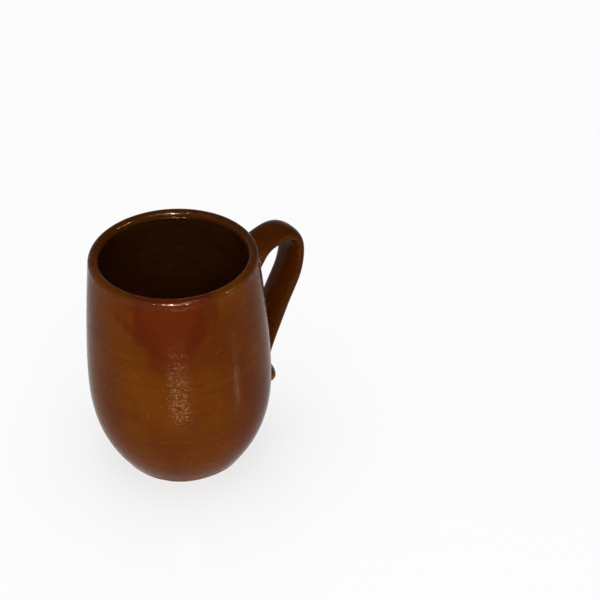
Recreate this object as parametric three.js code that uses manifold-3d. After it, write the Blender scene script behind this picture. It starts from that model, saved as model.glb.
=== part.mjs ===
// A stoneware mug: a thrown clay cup, a pulled strap handle, the slip that joins them, and the glaze coats.
// Millimetres, +Z up. The mug stands on Z = 0 on its foot ring, with its handle along +X.

import * as THREE from "three";
import { mergeVertices } from "three/addons/utils/BufferGeometryUtils.js";
import Module from "manifold-3d";

const wasm = await Module();
wasm.setup();

// Cup, measured over its glaze
const mugHeight = 120;
const rimDiameter = 82.3;
const bellyDiameter = 92.3;
const bellyHeight = 50;
const footDiameter = 61.6;
const wallThickness = 5.1;
const lipHeight = 3.1;
const floorThickness = 5.6;
const floorDiameter = 38;

// Foot ring, and the recess turned out inside it
const recessDiameter = 51.6;
const recessDepth = 3.6;
const recessCorner = 2;
const footChamfer = 0.5;
const glazeLineHeight = 1.2;
const recessGlazeHeight = 1.2;

// Coats, joints and clearances
const glazeThickness = 0.5;
const slipThickness = 0.8;
const slipBead = 1.2;
const coatGap = 0.1;
const cutGap = 0.3;

// Run of the handle's centreline: drops are below the lip, heights above the table, reaches out from the wall
const upperJointDrop = 17.8;
const rootDepth = 7;
const rootRise = 0.4;
const crownDrop = 12.7;
const crownReach = 20;
const shoulderDrop = 16.8;
const shoulderReach = 27.6;
const elbowDrop = 34;
const elbowReach = 24.2;
const gripHeight = 66;
const gripReach = 14.3;
const pressHeight = 35;
const pressReach = 1.9;
const tailHeight = 23.5;
const tailReach = 4.8;
const tailRound = 3.6;

// Strap section, from the upper root to the tail
const rootWidth = 21;
const gripWidth = 17.2;
const pressWidth = 17.5;
const tailWidth = 19.5;
const rootThickness = 12;
const gripThickness = 5.8;
const pressThickness = 7.2;
const tailThickness = 11.6;
const rootFlareLength = 12;
const tailFlareLength = 13;

// Shape of the curves: 2 is an ellipse or a parabola, and higher is fuller
const lowerWallFullness = 2.5;
const neckEasing = 1.5;
const floorRoundness = 2.3;
const sectionSquareness = 2.2;

// Facets: the wall's steps crowd together towards the foot, and corners nearer than the merging distance are one
const turnSegments = 40;
const wallSteps = 12;
const wallStepCrowding = 1.4;
const mergingDistance = 0.0001;
const lipSteps = 6;
const innerWallSteps = 6;
const floorSteps = 8;
const cornerSteps = 3;
const strapRings = 34;
const strapSides = 16;
const tailRings = 3;

const rimRadius = rimDiameter / 2;
const bellyRadius = bellyDiameter / 2;
const footRadius = footDiameter / 2;
const recessRadius = recessDiameter / 2;
const lipStart = mugHeight - lipHeight;
const floorTop = recessDepth + floorThickness;
const coat = glazeThickness + coatGap;

// Glazed outside of the cup: it swells from the foot to the belly and eases in to the rim
function outerRadius(height) {
  if (height < bellyHeight) {
    const below = 1 - height / bellyHeight;
    return bellyRadius - (bellyRadius - footRadius) * below ** lowerWallFullness;
  }
  const above = (height - bellyHeight) / (lipStart - bellyHeight);
  return bellyRadius - (bellyRadius - rimRadius) * above ** neckEasing;
}

// Profiles of the glazed surfaces, as radius and height, each with the solid on its left
function outsideProfile() {
  const points = [];
  for (let step = 0; step <= wallSteps; step += 1) {
    const share = (step / wallSteps) ** wallStepCrowding;
    const height = glazeLineHeight + (lipStart - glazeLineHeight) * share;
    points.push(new THREE.Vector2(outerRadius(height), height));
  }
  const lipMiddle = rimRadius - wallThickness / 2;
  for (let step = 1; step <= lipSteps; step += 1) {
    const angle = (Math.PI * step) / lipSteps;
    const radius = lipMiddle + (wallThickness / 2) * Math.cos(angle);
    points.push(new THREE.Vector2(radius, lipStart + lipHeight * Math.sin(angle)));
  }
  return points;
}

function insideProfile() {
  const points = [];
  for (let step = 1; step <= innerWallSteps; step += 1) {
    const height = lipStart + (bellyHeight - lipStart) * (step / innerWallSteps);
    points.push(new THREE.Vector2(outerRadius(height) - wallThickness, height));
  }
  const floorRadius = floorDiameter / 2;
  const bowlWidth = bellyRadius - wallThickness - floorRadius;
  const bowlDepth = bellyHeight - floorTop;
  for (let step = 1; step <= floorSteps; step += 1) {
    const angle = (Math.PI / 2) * (step / floorSteps);
    const out = Math.max(Math.cos(angle), 0) ** (2 / floorRoundness);
    const down = Math.sin(angle) ** (2 / floorRoundness);
    const radius = step === floorSteps ? floorRadius : floorRadius + bowlWidth * out;
    points.push(new THREE.Vector2(radius, bellyHeight - bowlDepth * down));
  }
  points.push(new THREE.Vector2(0, floorTop));
  return points;
}

function recessProfile() {
  const points = [new THREE.Vector2(0, recessDepth)];
  const cornerRadius = recessRadius - recessCorner;
  for (let step = 0; step <= cornerSteps; step += 1) {
    const angle = (Math.PI / 2) * (step / cornerSteps);
    const radius = cornerRadius + recessCorner * Math.sin(angle);
    points.push(new THREE.Vector2(radius, recessDepth - recessCorner * (1 - Math.cos(angle))));
  }
  points.push(new THREE.Vector2(recessRadius, recessGlazeHeight));
  return points;
}

// A profile moved into the solid by a depth, or out of it by a negative one
function inset(profile, depth) {
  return profile.map((point, place) => {
    const before = profile[Math.max(place - 1, 0)];
    const after = profile[Math.min(place + 1, profile.length - 1)];
    const along = after.clone().sub(before).normalize();
    return new THREE.Vector2(point.x - along.y * depth, point.y + along.x * depth);
  });
}

// A profile with its start moved along it by a gap
function shortened(profile, gap) {
  const along = profile[1].clone().sub(profile[0]).setLength(gap);
  return [profile[0].clone().add(along), ...profile.slice(1)];
}

// One closed mesh: only positions, shared corners merged and collapsed triangles left out
function closedMesh(geometry) {
  geometry.deleteAttribute("normal");
  geometry.deleteAttribute("uv");
  const merged = mergeVertices(geometry, mergingDistance);
  const corners = merged.index.array;
  const kept = [];
  for (let first = 0; first < corners.length; first += 3) {
    const triangle = [corners[first], corners[first + 1], corners[first + 2]];
    if (new Set(triangle).size === 3) {
      kept.push(...triangle);
    }
  }
  merged.setIndex(kept);
  return merged;
}

function revolve(profile) {
  return closedMesh(new THREE.LatheGeometry(profile, turnSegments).rotateX(Math.PI / 2));
}

function toSolid(geometry) {
  const vertProperties = new Float32Array(geometry.attributes.position.array);
  const triVerts = new Uint32Array(geometry.index.array);
  return new wasm.Manifold(new wasm.Mesh({ numProp: 3, vertProperties, triVerts }));
}

function toGeometry(solid) {
  const { vertProperties, triVerts } = solid.getMesh();
  const geometry = new THREE.BufferGeometry();
  geometry.setAttribute("position", new THREE.BufferAttribute(vertProperties, 3));
  geometry.setIndex(Array.from(triVerts));
  return geometry;
}

// The cup's whole surface, from the glaze line over the lip to the floor, and the same under its glaze
const cupSurface = [...outsideProfile(), ...insideProfile()];
const underGlaze = inset(cupSurface, glazeThickness);
const lipEnd = wallSteps + lipSteps;

// Everything inside the cup's outside wall, with that wall moved out by an amount
function wallSolid(outset) {
  const wall = inset(cupSurface, -outset).slice(0, wallSteps + 1);
  const bottom = new THREE.Vector2(0, wall[0].y);
  const top = new THREE.Vector2(0, wall[wallSteps].y);
  return toSolid(revolve([bottom, ...wall, top]));
}

// Thrown body: recess, foot ring, wall, lip and floor in one turned profile
function thrownBody() {
  const foot = [
    new THREE.Vector2(recessRadius + coat, footChamfer),
    new THREE.Vector2(recessRadius + coat + footChamfer, 0),
    new THREE.Vector2(footRadius - coat - footChamfer, 0),
    new THREE.Vector2(outerRadius(footChamfer) - coat, footChamfer),
  ];
  return revolve([...inset(recessProfile(), coat), ...foot, ...inset(cupSurface, coat)]);
}

// Glaze on the outside, over the lip to its inner edge
function outerCoat() {
  const outside = cupSurface.slice(0, lipEnd + 1);
  const under = underGlaze.slice(0, lipEnd + 1).reverse();
  return revolve([...outside, ...under, outside[0].clone()]);
}

// Glaze inside the cup, which starts just under the outer coat's edge
function linerGlaze() {
  const inside = shortened(cupSurface.slice(lipEnd), coatGap);
  const under = shortened(underGlaze.slice(lipEnd), coatGap).reverse();
  return revolve([...under, ...inside]);
}

// Glaze in the recess, from its middle to just inside the foot ring
function recessGlaze() {
  const ceiling = recessProfile();
  return revolve([...ceiling, ...inset(ceiling, glazeThickness).reverse()]);
}

// The strap's width runs along Y
const sideways = new THREE.Vector3(0, 1, 0);

// Handle centreline in the XZ plane, from inside the wall at the upper root to the tail
function handlePath() {
  const upperJointHeight = mugHeight - upperJointDrop;
  const crownHeight = mugHeight - crownDrop;
  const shoulderHeight = mugHeight - shoulderDrop;
  const elbowHeight = mugHeight - elbowDrop;
  const upperWall = outerRadius(upperJointHeight);
  const rootRadius = upperWall - rootDepth * Math.cos(rootRise);
  const rootHeight = upperJointHeight - rootDepth * Math.sin(rootRise);
  return new THREE.CatmullRomCurve3(
    [
      new THREE.Vector3(rootRadius, 0, rootHeight),
      new THREE.Vector3(upperWall, 0, upperJointHeight),
      new THREE.Vector3(upperWall + crownReach, 0, crownHeight),
      new THREE.Vector3(upperWall + shoulderReach, 0, shoulderHeight),
      new THREE.Vector3(bellyRadius + elbowReach, 0, elbowHeight),
      new THREE.Vector3(bellyRadius + gripReach, 0, gripHeight),
      new THREE.Vector3(outerRadius(pressHeight) + pressReach, 0, pressHeight),
      new THREE.Vector3(outerRadius(tailHeight) + tailReach, 0, tailHeight),
    ],
    false,
    "centripetal",
  );
}

// Width and thickness of the strap at a distance along its centreline. The root swells downwards and the
// tail outwards, so each section is shifted to keep its other face in line with the run between them.
function strapSize(distance, length) {
  const fromRoot = THREE.MathUtils.clamp((distance - rootDepth) / rootFlareLength, 0, 1);
  const rootFlare = (1 - fromRoot) ** 2;
  const gripTaper = THREE.MathUtils.smoothstep(distance, rootDepth, length - tailFlareLength);
  const tailFlare = THREE.MathUtils.smoothstep(distance, length - tailFlareLength, length);
  const middleWidth = THREE.MathUtils.lerp(gripWidth, pressWidth, gripTaper);
  const middleThickness = THREE.MathUtils.lerp(gripThickness, pressThickness, gripTaper);
  const width = middleWidth + (rootWidth - gripWidth) * rootFlare + (tailWidth - pressWidth) * tailFlare;
  const rootSwell = (rootThickness - gripThickness) * rootFlare;
  const tailSwell = (tailThickness - pressThickness) * tailFlare;
  const shift = (rootSwell - tailSwell) / 2;
  return { width, thickness: middleThickness + rootSwell + tailSwell, shift };
}

// Places of the strap's cross-sections: the run between two shares of its length, then a rounded tail
function strapSections(growth, from, to) {
  const path = handlePath();
  const length = path.getLength();
  const sections = [];
  const rings = Math.round(strapRings * (to - from));
  for (let ring = 0; ring <= rings; ring += 1) {
    const share = from + (to - from) * (ring / rings);
    const { width, thickness, shift } = strapSize(share * length, length);
    const along = path.getTangentAt(share);
    const inward = new THREE.Vector3().crossVectors(sideways, along);
    const centre = path.getPointAt(share).addScaledVector(inward, shift);
    sections.push({ centre, along, inward, width, thickness, swell: 1 });
  }
  const last = sections[sections.length - 1];
  for (let ring = 1; to === 1 && ring <= tailRings; ring += 1) {
    const angle = (Math.PI / 2) * (ring / (tailRings + 1));
    const centre = last.centre.clone().addScaledVector(last.along, (tailRound + growth) * Math.sin(angle));
    sections.push({ ...last, centre, swell: Math.cos(angle) });
  }
  return sections;
}

// A loft through rounded-oblong sections, grown by an amount on every side and closed at both ends
function strapLoft(growth, from = 0, to = 1) {
  const sections = strapSections(growth, from, to);
  const positions = [];
  const corners = [];
  const round = (value) => Math.sign(value) * Math.abs(value) ** (2 / sectionSquareness);
  for (const { centre, inward, width, thickness, swell } of sections) {
    for (let side = 0; side < strapSides; side += 1) {
      const angle = (2 * Math.PI * (side + 0.5)) / strapSides;
      const through = swell * (thickness / 2 + growth) * round(Math.cos(angle));
      const across = swell * (width / 2 + growth) * round(Math.sin(angle));
      const point = centre.clone().addScaledVector(inward, through).addScaledVector(sideways, across);
      positions.push(...point.toArray());
    }
  }
  for (let ring = 0; ring + 1 < sections.length; ring += 1) {
    for (let side = 0; side < strapSides; side += 1) {
      const next = (side + 1) % strapSides;
      const here = ring * strapSides;
      const there = here + strapSides;
      corners.push(here + side, here + next, there + next, here + side, there + next, there + side);
    }
  }
  const lastRing = (sections.length - 1) * strapSides;
  for (let side = 1; side + 1 < strapSides; side += 1) {
    corners.push(0, side + 1, side);
    corners.push(lastRing, lastRing + side, lastRing + side + 1);
  }
  const geometry = new THREE.BufferGeometry();
  geometry.setAttribute("position", new THREE.BufferAttribute(new Float32Array(positions), 3));
  geometry.setIndex(corners);
  return toSolid(geometry);
}

// Slip lies on the clay wall, under a joint of the strap, and squeezes out in a bead round it
const slipOutset = slipThickness - glazeThickness;
const slipLayer = wallSolid(slipOutset).subtract(wallSolid(-glazeThickness));
const upperEnd = 0.25;
const lowerEnd = 0.6;

function slipJoint(from, to) {
  return toGeometry(slipLayer.intersect(strapLoft(slipBead, from, to)));
}

// The strap and its coat stop just short of the slip
const jointWall = wallSolid(slipOutset + cutGap);
const handleStrap = strapLoft(0).subtract(jointWall);
const handleCoat = strapLoft(coatGap + glazeThickness).subtract(strapLoft(coatGap)).subtract(jointWall);

// The outer coat is open where the slip joints meet the clay
const outerGlaze = toSolid(outerCoat()).subtract(strapLoft(slipBead + cutGap));

const clay = { color: 0xb88a58, roughness: 0.85, metalness: 0 };
const slip = { color: 0xa87848, roughness: 0.9, metalness: 0 };
const amberGlaze = { color: 0x8a4b14, roughness: 0.18, metalness: 0 };
const darkGlaze = { color: 0x4a2612, roughness: 0.2, metalness: 0 };

const mug = new THREE.Group();

function addPiece(name, geometry, finish) {
  const piece = new THREE.Mesh(geometry, new THREE.MeshStandardMaterial(finish));
  piece.name = name;
  mug.add(piece);
}

addPiece("thrown_body", thrownBody(), clay);
addPiece("handle_strap", toGeometry(handleStrap), clay);
addPiece("upper_slip_joint", slipJoint(0, upperEnd), slip);
addPiece("lower_slip_joint", slipJoint(lowerEnd, 1), slip);
addPiece("liner_glaze", linerGlaze(), darkGlaze);
addPiece("outer_glaze", toGeometry(outerGlaze), amberGlaze);
addPiece("recess_glaze", recessGlaze(), darkGlaze);
addPiece("handle_glaze", toGeometry(handleCoat), amberGlaze);

// The origin is on the table, under the middle of the mug's overall length and width
const bounds = new THREE.Box3().setFromObject(mug);
mug.position.x = -(bounds.min.x + bounds.max.x) / 2;

export default mug;
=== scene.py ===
# A stoneware mug with a pulled strap handle: amber brown glaze outside, a dark brown glaze inside whose
# darkness is partly painted shade, and a bare clay foot ring. Metres, +Z up, in the frame of the imported
# part.

import math

import bpy
import numpy as np
from mathutils import Matrix, Vector


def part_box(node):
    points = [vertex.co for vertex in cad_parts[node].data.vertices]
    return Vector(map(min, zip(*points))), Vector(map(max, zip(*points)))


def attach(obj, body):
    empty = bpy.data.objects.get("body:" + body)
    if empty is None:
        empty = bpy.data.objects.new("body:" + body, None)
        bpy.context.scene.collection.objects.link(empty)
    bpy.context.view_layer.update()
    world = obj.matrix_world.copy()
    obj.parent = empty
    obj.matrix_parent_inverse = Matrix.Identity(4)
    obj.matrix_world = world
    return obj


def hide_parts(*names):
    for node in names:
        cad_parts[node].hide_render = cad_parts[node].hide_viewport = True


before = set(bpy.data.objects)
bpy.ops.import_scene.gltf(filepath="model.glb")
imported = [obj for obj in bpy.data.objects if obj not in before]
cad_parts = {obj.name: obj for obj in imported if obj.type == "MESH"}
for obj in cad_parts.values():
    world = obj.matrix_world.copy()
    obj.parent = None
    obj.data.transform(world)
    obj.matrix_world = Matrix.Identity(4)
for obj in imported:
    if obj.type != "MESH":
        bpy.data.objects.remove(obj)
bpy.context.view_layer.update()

# Where the cup stands: its axis, and the height of its lip
clay_low, clay_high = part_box("thrown_body")
CUP_AXIS = (clay_low.x + clay_high.x) / 2
MUG_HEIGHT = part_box("outer_glaze")[1].z

# The cup over its glaze
RIM_RADIUS = 0.04115
BELLY_RADIUS = 0.04615
BELLY_HEIGHT = 0.050
FOOT_RADIUS = 0.0308
WALL = 0.0051
LIP_HEIGHT = 0.0031
LIP_START = MUG_HEIGHT - LIP_HEIGHT
LIP_OUTER_SQUARENESS = 2.1
LIP_INNER_SQUARENESS = 2.7
FLOOR_RADIUS = 0.019
FLOOR_TOP = 0.0092
LOWER_WALL_FULLNESS = 2.5
NECK_EASING = 1.5
FLOOR_ROUNDNESS = 2.3

# Foot ring, recess and coats
RECESS_RADIUS = 0.0258
RECESS_DEPTH = 0.0036
RECESS_CORNER = 0.002
FOOT_ROUND = 0.0006
GLAZE_LINE = 0.0012
RECESS_GLAZE_LINE = 0.0012
GLAZE = 0.0005
COAT_GAP = 0.0001
COAT_OVER_CLAY = GLAZE + COAT_GAP
BARE_BAND_DEPTH = 0.9 * COAT_OVER_CLAY
BARE_BAND_START = 1.5 * FOOT_ROUND

# The roll where the outside glaze stopped, and the rounded edge below it
GLAZE_ROLL = 0.00022
ROLL_RISE = 0.0012
ROLL_SPREAD = 0.0011
EDGE_DROP = 0.0003

# Where the throwing rings and the edge's wave fade out
RINGS_PAST_LIP = 0.001
OUTSIDE_RING_FADE = 0.006
INSIDE_RING_FADE = 0.008
FLOOR_RING_FADE = 0.006
EDGE_WAVE_FADE = 0.005

# How finely the turned pieces are divided; the hidden skins are coarser
WALL_STEPS = 170
LIP_STEPS = 26
INNER_WALL_STEPS = 90
BOWL_STEPS = 60
HIDDEN_WALL_STEPS = 60
HIDDEN_LIP_STEPS = 16
HIDDEN_INNER_STEPS = 24
HIDDEN_BOWL_STEPS = 20
FLOOR_STEPS = 25
RECESS_POINTS = 24
RECESS_CORNER_STEPS = 14
FOOT_POINTS = 7
BAND_POINTS = 8
WELD = 0.000001

# Throwing marks: how far each noise wanders round a turn, and offsets that keep the three apart
RING_WANDER = 0.25
RING_OFFSET = 3.7
WAVER_WANDER = 0.8
WAVER_OFFSET = 9.1
WAVER_PER_METRE = 12.0
EDGE_WANDER = 2.2
EDGE_OFFSET = 5.3
TURNING_SIZES = {
    "Axis": 0.0,
    "Ring Pitch": 0.0035,
    "Ring Depth": 0.0001,
    "Waver": 0.0002,
    "Edge Wave": 0.0004,
    "Seed": 1.0,
}
OUTSIDE_THROWING = {
    "Turns": 288,
    "Ring Pitch": 0.0032,
    "Ring Depth": 0.00006,
    "Waver": 0.00015,
    "Edge Wave": 0.0005,
    "Seed": 2.0,
}
INSIDE_THROWING = {
    "Turns": 240,
    "Ring Pitch": 0.0040,
    "Ring Depth": 0.00012,
    "Waver": 0.0001,
    "Edge Wave": 0.0,
    "Seed": 6.0,
}
UNMARKED = {"Waver": 0.0, "Ring Depth": 0.0, "Edge Wave": 0.0}
RECESS_TURNING = {"Turns": 200, **UNMARKED}
CLAY_TURNING = {"Turns": 240, **UNMARKED}

# Handle centreline: reaches are out from the wall, heights above the table
JOINT_HEIGHT = 0.1022
ROOT_DEPTH = 0.007
ROOT_RISE = 0.4
CROWN_REACH = 0.020
CROWN_HEIGHT = 0.1073
SHOULDER_REACH = 0.0276
SHOULDER_HEIGHT = 0.1032
ELBOW_REACH = 0.0242
ELBOW_HEIGHT = 0.086
GRIP_REACH = 0.0143
GRIP_HEIGHT = 0.066
PRESS_REACH = 0.0019
PRESS_HEIGHT = 0.035
TAIL_REACH = 0.0048
TAIL_HEIGHT = 0.0235
TAIL_ROUND = 0.0036
BEND_EASING = 0.0028
CURVE_STEPS = 200
LINE_POINTS = 2000

# Strap section from the upper root to the tail
ROOT_WIDTH = 0.021
GRIP_WIDTH = 0.0172
PRESS_WIDTH = 0.0175
TAIL_WIDTH = 0.0195
ROOT_THICKNESS = 0.012
GRIP_THICKNESS = 0.0058
PRESS_THICKNESS = 0.0072
TAIL_THICKNESS = 0.0116
ROOT_FLARE = 0.012
TAIL_FLARE = 0.013
STRAP_SQUARENESS = 2.2

# How the strap runs into the wall
ROOT_SINK = 0.0018
SPREAD_SINK = 0.0002
UPPER_FILLET = 0.0065
LOWER_FILLET = 0.0030
LOWER_FILLET_TOP = (0.045, 0.075)
LEAST_FILLET = 0.000001
FILLET_TRIES = 28
ROOT_SEARCH_STEPS = 800
RING_CROWDING = 1.3
ROOT_SKEW_END = 0.25
SLOPE_STEP = 0.00001
TINY = 1e-12

# Rings and sides of the strap's coat, of the coat's inner skin and of the clay
STRAP_SIDES = 96
STRAP_RINGS = 230
ROOT_RINGS = 26
TAIL_RINGS = 20
INNER_SKIN_RINGS = 120
INNER_SKIN_ENDS = 10
CLAY_SIDES = 48

# Glaze colours
AMBER = {
    "thin": (0.165, 0.0465, 0.0003, 1),
    "thick": (0.102, 0.0208, 0.0001, 1),
    "speck": (0.30, 0.115, 0.010, 1),
    # The lip's colour: painted shade, darker at the back
    "rim": (0.050, 0.014, 0.002, 1),
}
# Inside the cup: a darker brown, partly painted shade
INSIDE_BROWN_AND_SHADE = {
    "thin": (0.050, 0.014, 0.0020, 1),
    "thick": (0.024, 0.006, 0.0010, 1),
    "speck": (0.090, 0.034, 0.006, 1),
    "rim": (0.070, 0.020, 0.004, 1),
}
RECESS_BROWN = {
    "thin": (0.115, 0.029, 0.003, 1),
    "thick": (0.078, 0.0175, 0.0015, 1),
    "speck": (0.20, 0.075, 0.008, 1),
    "rim": (0.070, 0.020, 0.004, 1),
}
# Painted reflection: the red of the patch under the front rim and of its darker flanks
PAINTED_REFLECTION_RED = (0.100, 0.0104, 0.0002, 1)
PAINTED_REFLECTION_FLANK = (0.066, 0.0070, 0.0002, 1)
# The strap's darker brown, partly painted shade
STRAP_BROWN_AND_SHADE = (0.045, 0.010, 0.0012, 1)
TAIL_GOLD = (0.33, 0.125, 0.010, 1)
FOOT_BROWN = (0.125, 0.036, 0.012, 1)

# Clay colours
CLAY_PALE = (0.44, 0.225, 0.075, 1)
CLAY_TOASTED = (0.35, 0.165, 0.045, 1)
SLIP_PALE = (0.36, 0.18, 0.065, 1)
SLIP_TOASTED = (0.28, 0.13, 0.04, 1)
DARK_SAND = (0.10, 0.05, 0.025, 1)
WHITE = (1, 1, 1, 1)

# Marks in the glaze: how they are stretched across and upright, and the noise levels where they show
CLOUD_STRETCH = (1.0, 0.7)
RING_STRETCH = (0.03, 1.0)
FLECK_STRETCH = (1.0, 1.6)
CLOUD_WEIGHT = 0.8
RING_WEIGHT = 0.2
MARK_ROUGHNESS = 0.55
THICK_LIMITS = (0.34, 0.66)
MARK_LIMITS = (0.3, 0.7)
FLECK_LIMITS = (0.40, 0.60)
SPECK_LIMITS = (0.72, 1.0)
SPECK_SIZE = 0.30
SPECK_EDGE = 0.08
GLAZE_MARK_SIZES = {
    "Cloud Scale": 28.0,
    "Ring Scale": 420.0,
    "Grain Scale": 1500.0,
    "Speck Scale": 620.0,
    "Fleck Scale": 620.0,
    "Peel Scale": 900.0,
    "Ring Height": 0.00004,
    "Peel Height": 0.00001,
}
AMBER_MARKS = {"Cloud Scale": 30.0, "Ring Scale": 430.0, "Ring Height": 0.00003, "Peel Height": 0.000012}
DARK_MARKS = {"Cloud Scale": 24.0, "Ring Scale": 330.0, "Ring Height": 0.00008, "Peel Height": 0.000008}

# How far each mark tints the glaze. The lip takes its own colour, more at the back than on the front; on the
# amber this is painted shade, darker at the back
RING_TINT = 0.15
GRAIN_TINT = 0.75
SPECK_TINT = 0.40
RIM_TINT = 0.85
RIM_HEIGHTS = (LIP_START - 0.0005, LIP_START + 0.0022)
BACK_TO_FRONT = (-0.02, 0.03)
FRONT_RIM_SHARE = 0.35

# Gloss: fine matt flecks break it up, and dimples and the lip's pits bend it
GRAIN_ROUGHNESS = (0.07, 0.12)
MATT_ROUGHNESS = 0.16
GLAZE_SHINE = 0.021
GRAIN_GLOSS = (0.038, 0.018)
LIP_GLOSS = 0.085
GLOSSY_SHARE = 1.85
MATT_SHARE = 0.15
LIP_HEIGHTS = (LIP_START - 0.002, LIP_START + 0.0005)
DIMPLE_SCALE = 700.0
DIMPLE_DEPTH = 0.00006
PIT_SCALE = 480.0
PIT_DEPTH = 0.0005
COAT_IOR = 1.5
COAT_ROUGHNESS = 0.05

# The red patch under the rim on the front, a painted reflection of something dark in front of the mug: its
# sides, its foot and its darker flanks
PATCH_SHIFT = -0.001
PATCH_HEIGHTS = (0.080, 0.108)
PATCH_HALF_WIDTHS = (0.0070, 0.0215)
PATCH_SIDES = (-0.010, 0.004)
PATCH_FOOT = (0.077, 0.089)
PATCH_FRONT = (0.0, 0.02)
PATCH_TINT = 0.75
FLANK_SIDES = (-0.013, -0.006)
FLANK_HEIGHTS = (0.086, 0.098)
FLANK_TINT = 0.50
RAGGED_SCALE = 70.0
RAGGED_REACH = 0.034
RAGGED_SHIFT = -0.023
PATCH_STREAK_SCALE = 190.0
PATCH_STREAK_STRETCH = (1.0, 1.0, 0.3)
PATCH_STREAK_REACH = 0.012

# The strap's darker brown past its root, partly painted shade, the gold on its tail and the brown edge above
# the foot
STRAP_RUN = (0.08, 0.2)
STRAP_RAGGED = 0.08
STRAP_TINT = 0.7
TAIL_RUN = (0.985, 1.03)
TAIL_RAGGED = 0.03
FOOT_HEIGHTS = (0.0035, 0.007)
FOOT_RAGGED = 0.004
FOOT_TINT = 0.7
STRAP_BEGINS = 0.01

# Bare clay
TOAST_SCALE = 90.0
TOAST_LIMITS = (0.35, 0.7)
TOOL_STRETCH = (0.05, 0.05, 1.0)
TOOL_SCALE = 1500.0
TOOL_HEIGHT = 0.00006
SAND_HEIGHT = 0.00005
CLAY_SAND_SCALE = 1800.0
SLIP_SAND_SCALE = 2600.0
DARK_SAND_LIMITS = (0.62, 0.75)
DARK_SAND_TINT = 0.5
SAND_LIMITS = (0.2, 0.8)
CLAY_ROUGHNESS = (0.75, 0.95)
CLAY_SHINE = 0.25

# Camera and light, about the cup's axis: the mug's right, its front and up, with the handle turned back
HANDLE_TURN = math.radians(38)
CAMERA_TILT = 0.62936
CAMERA_ROLL = 0.00185
CAMERA_PLACE = (0.0607, 0.6105, 0.5365)
CAMERA_LENS = 92.54
CAMERA_SENSOR = 36
CAMERA_NEAR = 0.01
TO_RIGHT = Vector((math.cos(HANDLE_TURN), -math.sin(HANDLE_TURN), 0))
TO_FRONT = Vector((-math.sin(HANDLE_TURN), -math.cos(HANDLE_TURN), 0))
UPWARD = Vector((0, 0, 1))
WARM_WINDOW = (1.0, 0.74, 0.46)
PLAIN_LAMP = (1.0, 1.0, 1.0)

# The floor: a pale paper, white to the camera, with a faint polish
FLOOR_HALF = 3.0
FLOOR_LEVEL = -0.0001
FLOOR_PAPER = (0.9, 0.9, 0.9, 1)
FLOOR_GLOW = 0.93
FLOOR_POLISH = (0.065, 0.065, 0.065, 1)
POLISH_ROUGHNESS = 0.18
SHADOW_REACH = 0.10
SHADOW_LEVEL = 0.84
SHADOW_COVER = 0.35
SHADOW_SAMPLES = 16

# The room: heights and sides between which its light fades, as it is seen and as it lights the mug
ROOM_LIGHT = 0.55
SEEN_HEIGHTS = (0.15, 0.55)
SEEN_CEILING = 0.1
SEEN_SIDES = (-0.3, 0.6)
ROOM_HEIGHTS = (0.15, 0.9)
ROOM_SIDES = (-0.2, 0.8)
RIGHT_SIDE = 0.3


# Node helpers
def add_node(tree, kind, inputs=None, **settings):
    """A node with its settings, its constant inputs and its links."""
    made = tree.nodes.new(kind)
    for name, value in settings.items():
        setattr(made, name, value)
    for name, value in (inputs or {}).items():
        if isinstance(value, bpy.types.NodeSocket):
            tree.links.new(value, made.inputs[name])
        else:
            made.inputs[name].default_value = value
    return made


def calc(tree, operation, first, second=0.0, third=0.0):
    """One sum on values."""
    return add_node(tree, "ShaderNodeMath", {0: first, 1: second, 2: third}, operation=operation).outputs[0]


def graded(tree, value, low, high, to_low=0.0, to_high=1.0):
    """A value that eases from to_low to to_high as it passes from low to high."""
    limits = {"Value": value, "From Min": low, "From Max": high, "To Min": to_low, "To Max": to_high}
    return add_node(tree, "ShaderNodeMapRange", limits, interpolation_type="SMOOTHSTEP").outputs["Result"]


def blended(tree, share, first, second):
    """A colour between two colours."""
    return add_node(tree, "ShaderNodeMix", {0: share, 6: first, 7: second}, data_type="RGBA").outputs[2]


def noise(tree, place, scale, detail=2.0, roughness=0.5):
    """Noise between 0 and 1."""
    sizes = {"Vector": place, "Scale": scale, "Detail": detail, "Roughness": roughness}
    return add_node(tree, "ShaderNodeTexNoise", sizes).outputs[0]


def reach_along(tree, place, way):
    """How far a place lies along a fixed direction."""
    measured = add_node(tree, "ShaderNodeVectorMath", {0: place, 1: way}, operation="DOT_PRODUCT")
    return measured.outputs["Value"]


def add_socket(tree, name, kind, default=None, output=False):
    """A named input or output of a node group."""
    made = tree.interface.new_socket(name=name, in_out="OUTPUT" if output else "INPUT", socket_type=kind)
    if default is not None:
        made.default_value = default
    return made


# Profiles of the cup, as radius and height
def outer_radius(height):
    """Radius of the glazed outside at a height."""
    height = np.asarray(height, float)
    below = np.clip(1 - height / BELLY_HEIGHT, 0, 1)
    above = np.clip((height - BELLY_HEIGHT) / (LIP_START - BELLY_HEIGHT), 0, None)
    lower = (BELLY_RADIUS - FOOT_RADIUS) * below**LOWER_WALL_FULLNESS
    upper = (BELLY_RADIUS - RIM_RADIUS) * above**NECK_EASING
    return BELLY_RADIUS - lower - upper


def outside_line(steps):
    """The outside from the glaze line to the start of the lip, with the roll where the glaze stopped."""
    height = np.linspace(GLAZE_LINE, LIP_START, steps)
    roll = GLAZE_ROLL * np.exp(-(((height - GLAZE_LINE - ROLL_RISE) / ROLL_SPREAD) ** 2))
    return np.column_stack([outer_radius(height) + roll, height])


def lip_line(steps):
    """The lip from outside to inside: full on its outer shoulder and crisper on its inner one."""
    angle = np.linspace(0, math.pi, steps + 1)[1:]
    middle = RIM_RADIUS - WALL / 2
    across = np.cos(angle)
    squareness = np.where(across < 0, LIP_INNER_SQUARENESS, LIP_OUTER_SQUARENESS)
    out = np.sign(across) * np.abs(across) ** (2 / squareness)
    rise = np.clip(np.sin(angle), 0, 1) ** (2 / squareness)
    return np.column_stack([middle + WALL / 2 * out, LIP_START + LIP_HEIGHT * rise])


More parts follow.
